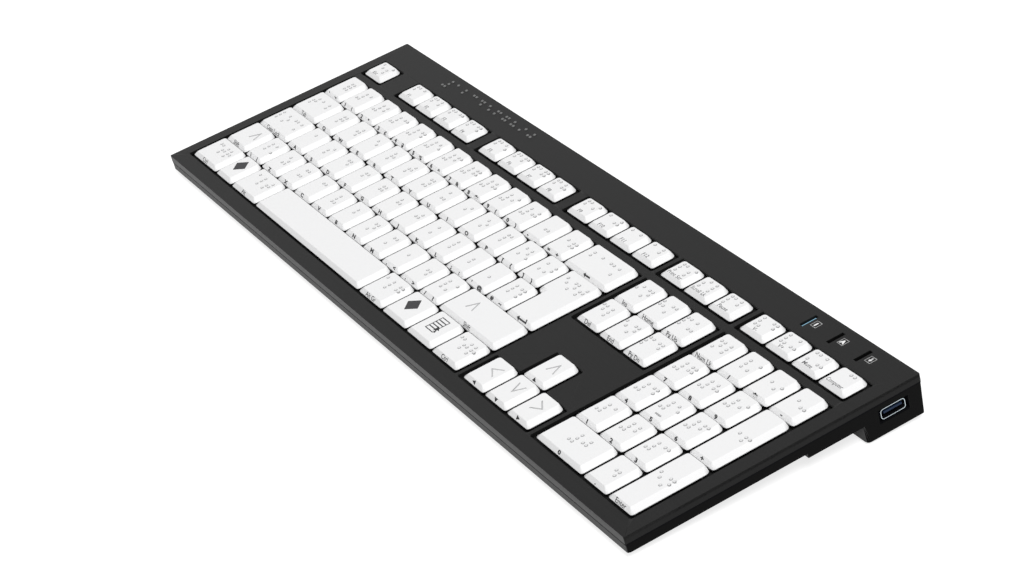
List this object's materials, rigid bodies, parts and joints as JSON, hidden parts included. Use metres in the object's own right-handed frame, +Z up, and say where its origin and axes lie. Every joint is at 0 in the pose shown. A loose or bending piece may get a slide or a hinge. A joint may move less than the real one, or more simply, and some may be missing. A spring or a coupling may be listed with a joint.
{
  "type": "braille computer keyboard",
  "caption": "Full-size wired office keyboard with raised braille dots on white keycaps, a charcoal case and a USB socket in its right end.",
  "frame": {"origin": "middle of the overall box, at desk level", "axes": "+X to the user's right along the keyboard, +Y away from the user towards the rear edge, +Z up from the desk"},
  "size_m": [0.4462, 0.1428, 0.0231],
  "materials": {
    "charcoal_plastic": "fine brushed charcoal, matte",
    "white_key_plastic": "fine-grained matte white",
    "black_frame_plastic": "matte black moulding",
    "clear_silicone": "milky soft silicone",
    "circuit_film": "printed polyester film",
    "bright_steel": "bright plated sheet",
    "green_board": "green circuit board",
    "socket_insert": "dark blue-black plastic",
    "clear_window": "clear tinted window",
    "black_rubber": "matte black rubber"
  },
  "bodies": {
    "case": {"top_cover": "charcoal_plastic", "bottom_cover": "charcoal_plastic", "key_frame": "black_frame_plastic", "dome_sheet": "clear_silicone", "membrane_circuit": "circuit_film", "backing_plate": "bright_steel", "controller_board": "green_board", "usb_shell": "bright_steel", "usb_tongue": "socket_insert", "light_pipe": "clear_window", "cord_gland": "black_rubber", "front_rubber_strip": "black_rubber", "rear_rubber_strip": "black_rubber"},
    "key_a": {"key_a": "white_key_plastic"},
    "key_b": {"key_b": "white_key_plastic"},
    "key_c": {"key_c": "white_key_plastic"},
    "key_d": {"key_d": "white_key_plastic"},
    "key_e": {"key_e": "white_key_plastic"},
    "key_f": {"key_f": "white_key_plastic"},
    "key_g": {"key_g": "white_key_plastic"},
    "key_h": {"key_h": "white_key_plastic"},
    "key_i": {"key_i": "white_key_plastic"},
    "key_j": {"key_j": "white_key_plastic"},
    "key_k": {"key_k": "white_key_plastic"},
    "key_l": {"key_l": "white_key_plastic"},
    "key_m": {"key_m": "white_key_plastic"},
    "key_n": {"key_n": "white_key_plastic"},
    "key_o": {"key_o": "white_key_plastic"},
    "key_p": {"key_p": "white_key_plastic"},
    "key_q": {"key_q": "white_key_plastic"},
    "key_r": {"key_r": "white_key_plastic"},
    "key_s": {"key_s": "white_key_plastic"},
    "key_t": {"key_t": "white_key_plastic"},
    "key_u": {"key_u": "white_key_plastic"},
    "key_v": {"key_v": "white_key_plastic"},
    "key_w": {"key_w": "white_key_plastic"},
    "key_x": {"key_x": "white_key_plastic"},
    "key_y": {"key_y": "white_key_plastic"},
    "key_z": {"key_z": "white_key_plastic"},
    "space_bar": {"space_bar": "white_key_plastic"},
    "enter_key": {"enter_key": "white_key_plastic"},
    "backspace_key": {"backspace_key": "white_key_plastic"},
    "tab_key": {"tab_key": "white_key_plastic"},
    "caps_lock_key": {"caps_lock_key": "white_key_plastic"},
    "left_shift_key": {"left_shift_key": "white_key_plastic"},
    "right_shift_key": {"right_shift_key": "white_key_plastic"},
    "escape_key": {"escape_key": "white_key_plastic"},
    "backslash_key": {"backslash_key": "white_key_plastic"},
    "number_row_keys": {"number_row_keys": "white_key_plastic"},
    "punctuation_keys": {"punctuation_keys": "white_key_plastic"},
    "left_modifier_keys": {"left_modifier_keys": "white_key_plastic"},
    "right_modifier_keys": {"right_modifier_keys": "white_key_plastic"},
    "f1_to_f4_keys": {"f1_to_f4_keys": "white_key_plastic"},
    "f5_to_f8_keys": {"f5_to_f8_keys": "white_key_plastic"},
    "f9_to_f12_keys": {"f9_to_f12_keys": "white_key_plastic"},
    "system_keys": {"system_keys": "white_key_plastic"},
    "media_keys": {"media_keys": "white_key_plastic"},
    "navigation_keys": {"navigation_keys": "white_key_plastic"},
    "arrow_keys": {"arrow_keys": "white_key_plastic"},
    "numpad_keys": {"numpad_keys": "white_key_plastic"}
  },
  "joints": [
    {"name": "key_a_press", "type": "slide", "parent": "case", "child": "key_a", "axis": [0, -0.0748, 0.9972], "range_m": [-0.002, 0], "stiffness_N_per_m": 200, "springref_m": 0.002, "deforming": ["dome_sheet"]},
    {"name": "key_b_press", "type": "slide", "parent": "case", "child": "key_b", "axis": [0, -0.0748, 0.9972], "range_m": [-0.002, 0], "stiffness_N_per_m": 200, "springref_m": 0.002, "deforming": ["dome_sheet"]},
    {"name": "key_c_press", "type": "slide", "parent": "case", "child": "key_c", "axis": [0, -0.0748, 0.9972], "range_m": [-0.002, 0], "stiffness_N_per_m": 200, "springref_m": 0.002, "deforming": ["dome_sheet"]},
    {"name": "key_d_press", "type": "slide", "parent": "case", "child": "key_d", "axis": [0, -0.0748, 0.9972], "range_m": [-0.002, 0], "stiffness_N_per_m": 200, "springref_m": 0.002, "deforming": ["dome_sheet"]},
    {"name": "key_e_press", "type": "slide", "parent": "case", "child": "key_e", "axis": [0, -0.0748, 0.9972], "range_m": [-0.002, 0], "stiffness_N_per_m": 200, "springref_m": 0.002, "deforming": ["dome_sheet"]},
    {"name": "key_f_press", "type": "slide", "parent": "case", "child": "key_f", "axis": [0, -0.0748, 0.9972], "range_m": [-0.002, 0], "stiffness_N_per_m": 200, "springref_m": 0.002, "deforming": ["dome_sheet"]},
    {"name": "key_g_press", "type": "slide", "parent": "case", "child": "key_g", "axis": [0, -0.0748, 0.9972], "range_m": [-0.002, 0], "stiffness_N_per_m": 200, "springref_m": 0.002, "deforming": ["dome_sheet"]},
    {"name": "key_h_press", "type": "slide", "parent": "case", "child": "key_h", "axis": [0, -0.0748, 0.9972], "range_m": [-0.002, 0], "stiffness_N_per_m": 200, "springref_m": 0.002, "deforming": ["dome_sheet"]},
    {"name": "key_i_press", "type": "slide", "parent": "case", "child": "key_i", "axis": [0, -0.0748, 0.9972], "range_m": [-0.002, 0], "stiffness_N_per_m": 200, "springref_m": 0.002, "deforming": ["dome_sheet"]},
    {"name": "key_j_press", "type": "slide", "parent": "case", "child": "key_j", "axis": [0, -0.0748, 0.9972], "range_m": [-0.002, 0], "stiffness_N_per_m": 200, "springref_m": 0.002, "deforming": ["dome_sheet"]},
    {"name": "key_k_press", "type": "slide", "parent": "case", "child": "key_k", "axis": [0, -0.0748, 0.9972], "range_m": [-0.002, 0], "stiffness_N_per_m": 200, "springref_m": 0.002, "deforming": ["dome_sheet"]},
    {"name": "key_l_press", "type": "slide", "parent": "case", "child": "key_l", "axis": [0, -0.0748, 0.9972], "range_m": [-0.002, 0], "stiffness_N_per_m": 200, "springref_m": 0.002, "deforming": ["dome_sheet"]},
    {"name": "key_m_press", "type": "slide", "parent": "case", "child": "key_m", "axis": [0, -0.0748, 0.9972], "range_m": [-0.002, 0], "stiffness_N_per_m": 200, "springref_m": 0.002, "deforming": ["dome_sheet"]},
    {"name": "key_n_press", "type": "slide", "parent": "case", "child": "key_n", "axis": [0, -0.0748, 0.9972], "range_m": [-0.002, 0], "stiffness_N_per_m": 200, "springref_m": 0.002, "deforming": ["dome_sheet"]},
    {"name": "key_o_press", "type": "slide", "parent": "case", "child": "key_o", "axis": [0, -0.0748, 0.9972], "range_m": [-0.002, 0], "stiffness_N_per_m": 200, "springref_m": 0.002, "deforming": ["dome_sheet"]},
    {"name": "key_p_press", "type": "slide", "parent": "case", "child": "key_p", "axis": [0, -0.0748, 0.9972], "range_m": [-0.002, 0], "stiffness_N_per_m": 200, "springref_m": 0.002, "deforming": ["dome_sheet"]},
    {"name": "key_q_press", "type": "slide", "parent": "case", "child": "key_q", "axis": [0, -0.0748, 0.9972], "range_m": [-0.002, 0], "stiffness_N_per_m": 200, "springref_m": 0.002, "deforming": ["dome_sheet"]},
    {"name": "key_r_press", "type": "slide", "parent": "case", "child": "key_r", "axis": [0, -0.0748, 0.9972], "range_m": [-0.002, 0], "stiffness_N_per_m": 200, "springref_m": 0.002, "deforming": ["dome_sheet"]},
    {"name": "key_s_press", "type": "slide", "parent": "case", "child": "key_s", "axis": [0, -0.0748, 0.9972], "range_m": [-0.002, 0], "stiffness_N_per_m": 200, "springref_m": 0.002, "deforming": ["dome_sheet"]},
    {"name": "key_t_press", "type": "slide", "parent": "case", "child": "key_t", "axis": [0, -0.0748, 0.9972], "range_m": [-0.002, 0], "stiffness_N_per_m": 200, "springref_m": 0.002, "deforming": ["dome_sheet"]},
    {"name": "key_u_press", "type": "slide", "parent": "case", "child": "key_u", "axis": [0, -0.0748, 0.9972], "range_m": [-0.002, 0], "stiffness_N_per_m": 200, "springref_m": 0.002, "deforming": ["dome_sheet"]},
    {"name": "key_v_press", "type": "slide", "parent": "case", "child": "key_v", "axis": [0, -0.0748, 0.9972], "range_m": [-0.002, 0], "stiffness_N_per_m": 200, "springref_m": 0.002, "deforming": ["dome_sheet"]},
    {"name": "key_w_press", "type": "slide", "parent": "case", "child": "key_w", "axis": [0, -0.0748, 0.9972], "range_m": [-0.002, 0], "stiffness_N_per_m": 200, "springref_m": 0.002, "deforming": ["dome_sheet"]},
    {"name": "key_x_press", "type": "slide", "parent": "case", "child": "key_x", "axis": [0, -0.0748, 0.9972], "range_m": [-0.002, 0], "stiffness_N_per_m": 200, "springref_m": 0.002, "deforming": ["dome_sheet"]},
    {"name": "key_y_press", "type": "slide", "parent": "case", "child": "key_y", "axis": [0, -0.0748, 0.9972], "range_m": [-0.002, 0], "stiffness_N_per_m": 200, "springref_m": 0.002, "deforming": ["dome_sheet"]},
    {"name": "key_z_press", "type": "slide", "parent": "case", "child": "key_z", "axis": [0, -0.0748, 0.9972], "range_m": [-0.002, 0], "stiffness_N_per_m": 200, "springref_m": 0.002, "deforming": ["dome_sheet"]},
    {"name": "space_bar_press", "type": "slide", "parent": "case", "child": "space_bar", "axis": [0, -0.0748, 0.9972], "range_m": [-0.002, 0], "stiffness_N_per_m": 200, "springref_m": 0.002, "deforming": ["dome_sheet"]},
    {"name": "enter_key_press", "type": "slide", "parent": "case", "child": "enter_key", "axis": [0, -0.0748, 0.9972], "range_m": [-0.002, 0], "stiffness_N_per_m": 200, "springref_m": 0.002, "deforming": ["dome_sheet"]},
    {"name": "backspace_key_press", "type": "slide", "parent": "case", "child": "backspace_key", "axis": [0, -0.0748, 0.9972], "range_m": [-0.002, 0], "stiffness_N_per_m": 200, "springref_m": 0.002, "deforming": ["dome_sheet"]},
    {"name": "tab_key_press", "type": "slide", "parent": "case", "child": "tab_key", "axis": [0, -0.0748, 0.9972], "range_m": [-0.002, 0], "stiffness_N_per_m": 200, "springref_m": 0.002, "deforming": ["dome_sheet"]},
    {"name": "caps_lock_key_press", "type": "slide", "parent": "case", "child": "caps_lock_key", "axis": [0, -0.0748, 0.9972], "range_m": [-0.002, 0], "stiffness_N_per_m": 200, "springref_m": 0.002, "deforming": ["dome_sheet"]},
    {"name": "left_shift_key_press", "type": "slide", "parent": "case", "child": "left_shift_key", "axis": [0, -0.0748, 0.9972], "range_m": [-0.002, 0], "stiffness_N_per_m": 200, "springref_m": 0.002, "deforming": ["dome_sheet"]},
    {"name": "right_shift_key_press", "type": "slide", "parent": "case", "child": "right_shift_key", "axis": [0, -0.0748, 0.9972], "range_m": [-0.002, 0], "stiffness_N_per_m": 200, "springref_m": 0.002, "deforming": ["dome_sheet"]},
    {"name": "escape_key_press", "type": "slide", "parent": "case", "child": "escape_key", "axis": [0, -0.0748, 0.9972], "range_m": [-0.002, 0], "stiffness_N_per_m": 200, "springref_m": 0.002, "deforming": ["dome_sheet"]},
    {"name": "backslash_key_press", "type": "slide", "parent": "case", "child": "backslash_key", "axis": [0, -0.0748, 0.9972], "range_m": [-0.002, 0], "stiffness_N_per_m": 200, "springref_m": 0.002, "deforming": ["dome_sheet"]},
    {"name": "number_row_keys_press", "type": "slide", "parent": "case", "child": "number_row_keys", "axis": [0, -0.0748, 0.9972], "range_m": [-0.002, 0], "stiffness_N_per_m": 2600, "springref_m": 0.002, "deforming": ["dome_sheet"]},
    {"name": "punctuation_keys_press", "type": "slide", "parent": "case", "child": "punctuation_keys", "axis": [0, -0.0748, 0.9972], "range_m": [-0.002, 0], "stiffness_N_per_m": 1600, "springref_m": 0.002, "deforming": ["dome_sheet"]},
    {"name": "left_modifier_keys_press", "type": "slide", "parent": "case", "child": "left_modifier_keys", "axis": [0, -0.0748, 0.9972], "range_m": [-0.002, 0], "stiffness_N_per_m": 600, "springref_m": 0.002, "deforming": ["dome_sheet"]},
    {"name": "right_modifier_keys_press", "type": "slide", "parent": "case", "child": "right_modifier_keys", "axis": [0, -0.0748, 0.9972], "range_m": [-0.002, 0], "stiffness_N_per_m": 800, "springref_m": 0.002, "deforming": ["dome_sheet"]},
    {"name": "f1_to_f4_keys_press", "type": "slide", "parent": "case", "child": "f1_to_f4_keys", "axis": [0, -0.0748, 0.9972], "range_m": [-0.002, 0], "stiffness_N_per_m": 800, "springref_m": 0.002, "deforming": ["dome_sheet"]},
    {"name": "f5_to_f8_keys_press", "type": "slide", "parent": "case", "child": "f5_to_f8_keys", "axis": [0, -0.0748, 0.9972], "range_m": [-0.002, 0], "stiffness_N_per_m": 800, "springref_m": 0.002, "deforming": ["dome_sheet"]},
    {"name": "f9_to_f12_keys_press", "type": "slide", "parent": "case", "child": "f9_to_f12_keys", "axis": [0, -0.0748, 0.9972], "range_m": [-0.002, 0], "stiffness_N_per_m": 800, "springref_m": 0.002, "deforming": ["dome_sheet"]},
    {"name": "system_keys_press", "type": "slide", "parent": "case", "child": "system_keys", "axis": [0, -0.0748, 0.9972], "range_m": [-0.002, 0], "stiffness_N_per_m": 600, "springref_m": 0.002, "deforming": ["dome_sheet"]},
    {"name": "media_keys_press", "type": "slide", "parent": "case", "child": "media_keys", "axis": [0, -0.0748, 0.9972], "range_m": [-0.002, 0], "stiffness_N_per_m": 800, "springref_m": 0.002, "deforming": ["dome_sheet"]},
    {"name": "navigation_keys_press", "type": "slide", "parent": "case", "child": "navigation_keys", "axis": [0, -0.0748, 0.9972], "range_m": [-0.002, 0], "stiffness_N_per_m": 1200, "springref_m": 0.002, "deforming": ["dome_sheet"]},
    {"name": "arrow_keys_press", "type": "slide", "parent": "case", "child": "arrow_keys", "axis": [0, -0.0748, 0.9972], "range_m": [-0.002, 0], "stiffness_N_per_m": 800, "springref_m": 0.002, "deforming": ["dome_sheet"]},
    {"name": "numpad_keys_press", "type": "slide", "parent": "case", "child": "numpad_keys", "axis": [0, -0.0748, 0.9972], "range_m": [-0.002, 0], "stiffness_N_per_m": 3400, "springref_m": 0.002, "deforming": ["dome_sheet"]}
  ]
}
